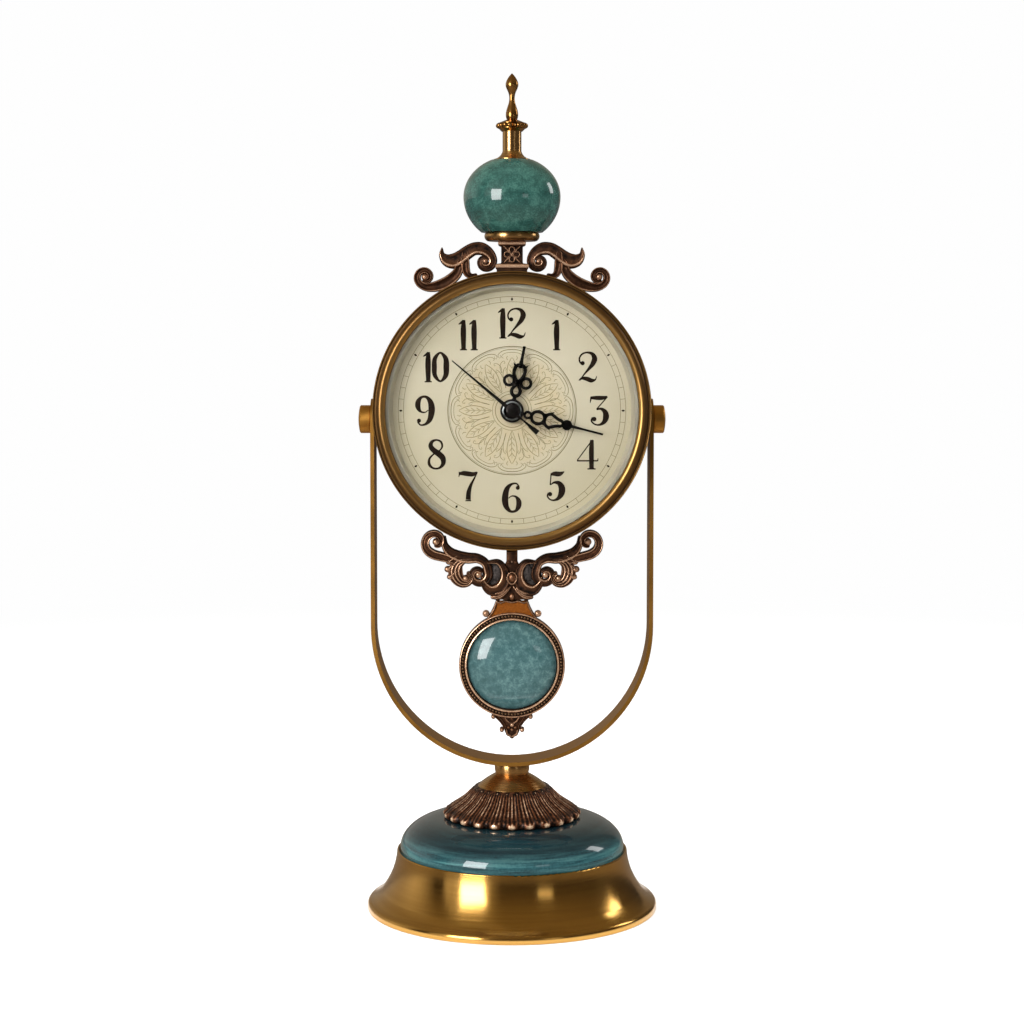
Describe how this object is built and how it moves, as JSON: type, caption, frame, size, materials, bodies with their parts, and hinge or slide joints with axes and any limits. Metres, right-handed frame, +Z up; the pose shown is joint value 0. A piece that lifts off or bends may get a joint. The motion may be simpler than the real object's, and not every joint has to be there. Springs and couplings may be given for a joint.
{
  "type": "desk pendulum clock",
  "caption": "Round dial clock that tilts in a U-shaped brass yoke over a glazed, flared base, with scroll crest, glazed ball, finial and a swinging medallion pendulum.",
  "frame": {"origin": "on the surface it stands on, at the middle of the round base", "axes": "+Z up through ball and finial; the dial faces -Y; +X is to the reader's right, along the tilt axis of the head"},
  "size_m": [0.18, 0.1712, 0.49],
  "materials": {
    "spun_brass": "polished",
    "aged_brass": "satin",
    "dark_casting": "satin",
    "petal_casting": "satin",
    "turned_brass": "satin",
    "teal_glaze": "gloss",
    "felt": "matte",
    "steel": "satin",
    "grey_iron": "matte",
    "window_glass": "gloss",
    "silver_ring": "satin",
    "dial_print": "matte",
    "black_hands": "satin",
    "black_moulding": "matte",
    "white_moulding": "satin",
    "copper_winding": "satin",
    "board_laminate": "satin",
    "cell_can": "satin"
  },
  "bodies": {
    "base": {"base_skirt": "spun_brass", "base_plate": "steel", "felt_pad": "felt", "base_weight": "grey_iron", "spacer_tube": "steel", "ceramic_dome": "teal_glaze", "petal_collar": "petal_casting", "base_cone": "spun_brass", "neck_ring": "spun_brass", "yoke": "spun_brass", "tie_bolt": "steel"},
    "head": {"pivot_bushes": "turned_brass", "friction_washers": "white_moulding", "drum_case": "aged_brass", "back_cover": "aged_brass", "cover_screws": "spun_brass", "bezel": "aged_brass", "crystal": "window_glass", "inner_ring": "silver_ring", "dial_plate": "dial_print", "movement_case": "black_moulding", "mount_nut": "turned_brass", "middle_plate": "white_moulding", "movement_cover": "black_moulding", "battery_contacts": "turned_brass", "stator_plate": "steel", "drive_coil": "copper_winding", "circuit_board": "board_laminate", "pendulum_coil": "black_moulding", "crest_pedestal": "dark_casting", "left_crest_scroll": "dark_casting", "right_crest_scroll": "dark_casting", "ball_collar": "spun_brass", "ceramic_ball": "teal_glaze", "ball_cap": "spun_brass", "beaded_ring": "dark_casting", "finial": "dark_casting", "crest_bolt": "steel"},
    "left_knob": {"left_pivot_knob": "spun_brass"},
    "right_knob": {"right_pivot_knob": "spun_brass"},
    "minute_train": {"cannon_pinion": "white_moulding", "minute_hand": "black_hands"},
    "hour_train": {"hour_wheel": "white_moulding", "hour_hand": "black_hands"},
    "second_train": {"second_wheel": "white_moulding", "second_hand": "black_hands"},
    "reverser": {"reverser_wheel": "white_moulding"},
    "setter": {"set_knob": "black_moulding"},
    "intermediate": {"intermediate_wheel": "white_moulding"},
    "rotor": {"stepper_rotor": "white_moulding"},
    "pendulum": {"pendulum_hanger": "turned_brass", "drive_magnet": "steel", "pendulum_rod": "aged_brass", "pendulum_scroll": "dark_casting", "medallion_frame": "dark_casting", "bead_ring": "turned_brass", "medallion_back": "turned_brass", "cabochon": "teal_glaze", "pendulum_screws": "spun_brass"},
    "battery_cell": {"battery": "cell_can"}
  },
  "joints": [
    {"name": "head_tilt", "type": "hinge", "parent": "base", "child": "head", "pos_m": [0, 0, 0.289], "axis": [1, 0, 0], "range_deg": [-10, 10]},
    {"name": "left_knob_turn", "type": "hinge", "parent": "head", "child": "left_knob", "pos_m": [-0.086, 0, 0.289], "axis": [-1, 0, 0], "range_deg": [-90, 90]},
    {"name": "right_knob_turn", "type": "hinge", "parent": "head", "child": "right_knob", "pos_m": [0.086, 0, 0.289], "axis": [1, 0, 0], "range_deg": [-90, 90]},
    {"name": "minute_turn", "type": "hinge", "parent": "head", "child": "minute_train", "pos_m": [0, 0, 0.2946], "axis": [0, 1, 0], "continuous": true},
    {"name": "hour_turn", "type": "hinge", "parent": "head", "child": "hour_train", "pos_m": [0, 0, 0.2946], "axis": [0, 1, 0], "continuous": true},
    {"name": "reverser_turn", "type": "hinge", "parent": "head", "child": "reverser", "pos_m": [-0.00779, 0, 0.2928], "axis": [0, 1, 0], "continuous": true},
    {"name": "setter_turn", "type": "hinge", "parent": "head", "child": "setter", "pos_m": [-0.01559, 0, 0.291], "axis": [0, 1, 0], "continuous": true},
    {"name": "second_turn", "type": "hinge", "parent": "head", "child": "second_train", "pos_m": [0, 0, 0.2946], "axis": [0, 1, 0], "continuous": true},
    {"name": "intermediate_turn", "type": "hinge", "parent": "head", "child": "intermediate", "pos_m": [-0.0036, 0, 0.30084], "axis": [0, 1, 0], "continuous": true},
    {"name": "rotor_turn", "type": "hinge", "parent": "head", "child": "rotor", "pos_m": [-0.0106, 0, 0.30084], "axis": [0, 1, 0], "continuous": true},
    {"name": "pendulum_swing", "type": "hinge", "parent": "head", "child": "pendulum", "pos_m": [0, 0.0037, 0.3166], "axis": [0, 1, 0], "range_deg": [-6, 6]},
    {"name": "battery_slide", "type": "slide", "parent": "head", "child": "battery_cell", "axis": [0, 1, 0], "range_m": [0, 0.03]}
  ],
  "couplings": [
    {"joint": "hour_turn", "follows": "minute_turn", "ratio": 0.083333},
    {"joint": "reverser_turn", "follows": "minute_turn", "ratio": -0.33333},
    {"joint": "setter_turn", "follows": "minute_turn", "ratio": 1},
    {"joint": "intermediate_turn", "follows": "second_turn", "ratio": -5},
    {"joint": "rotor_turn", "follows": "second_turn", "ratio": 30}
  ]
}
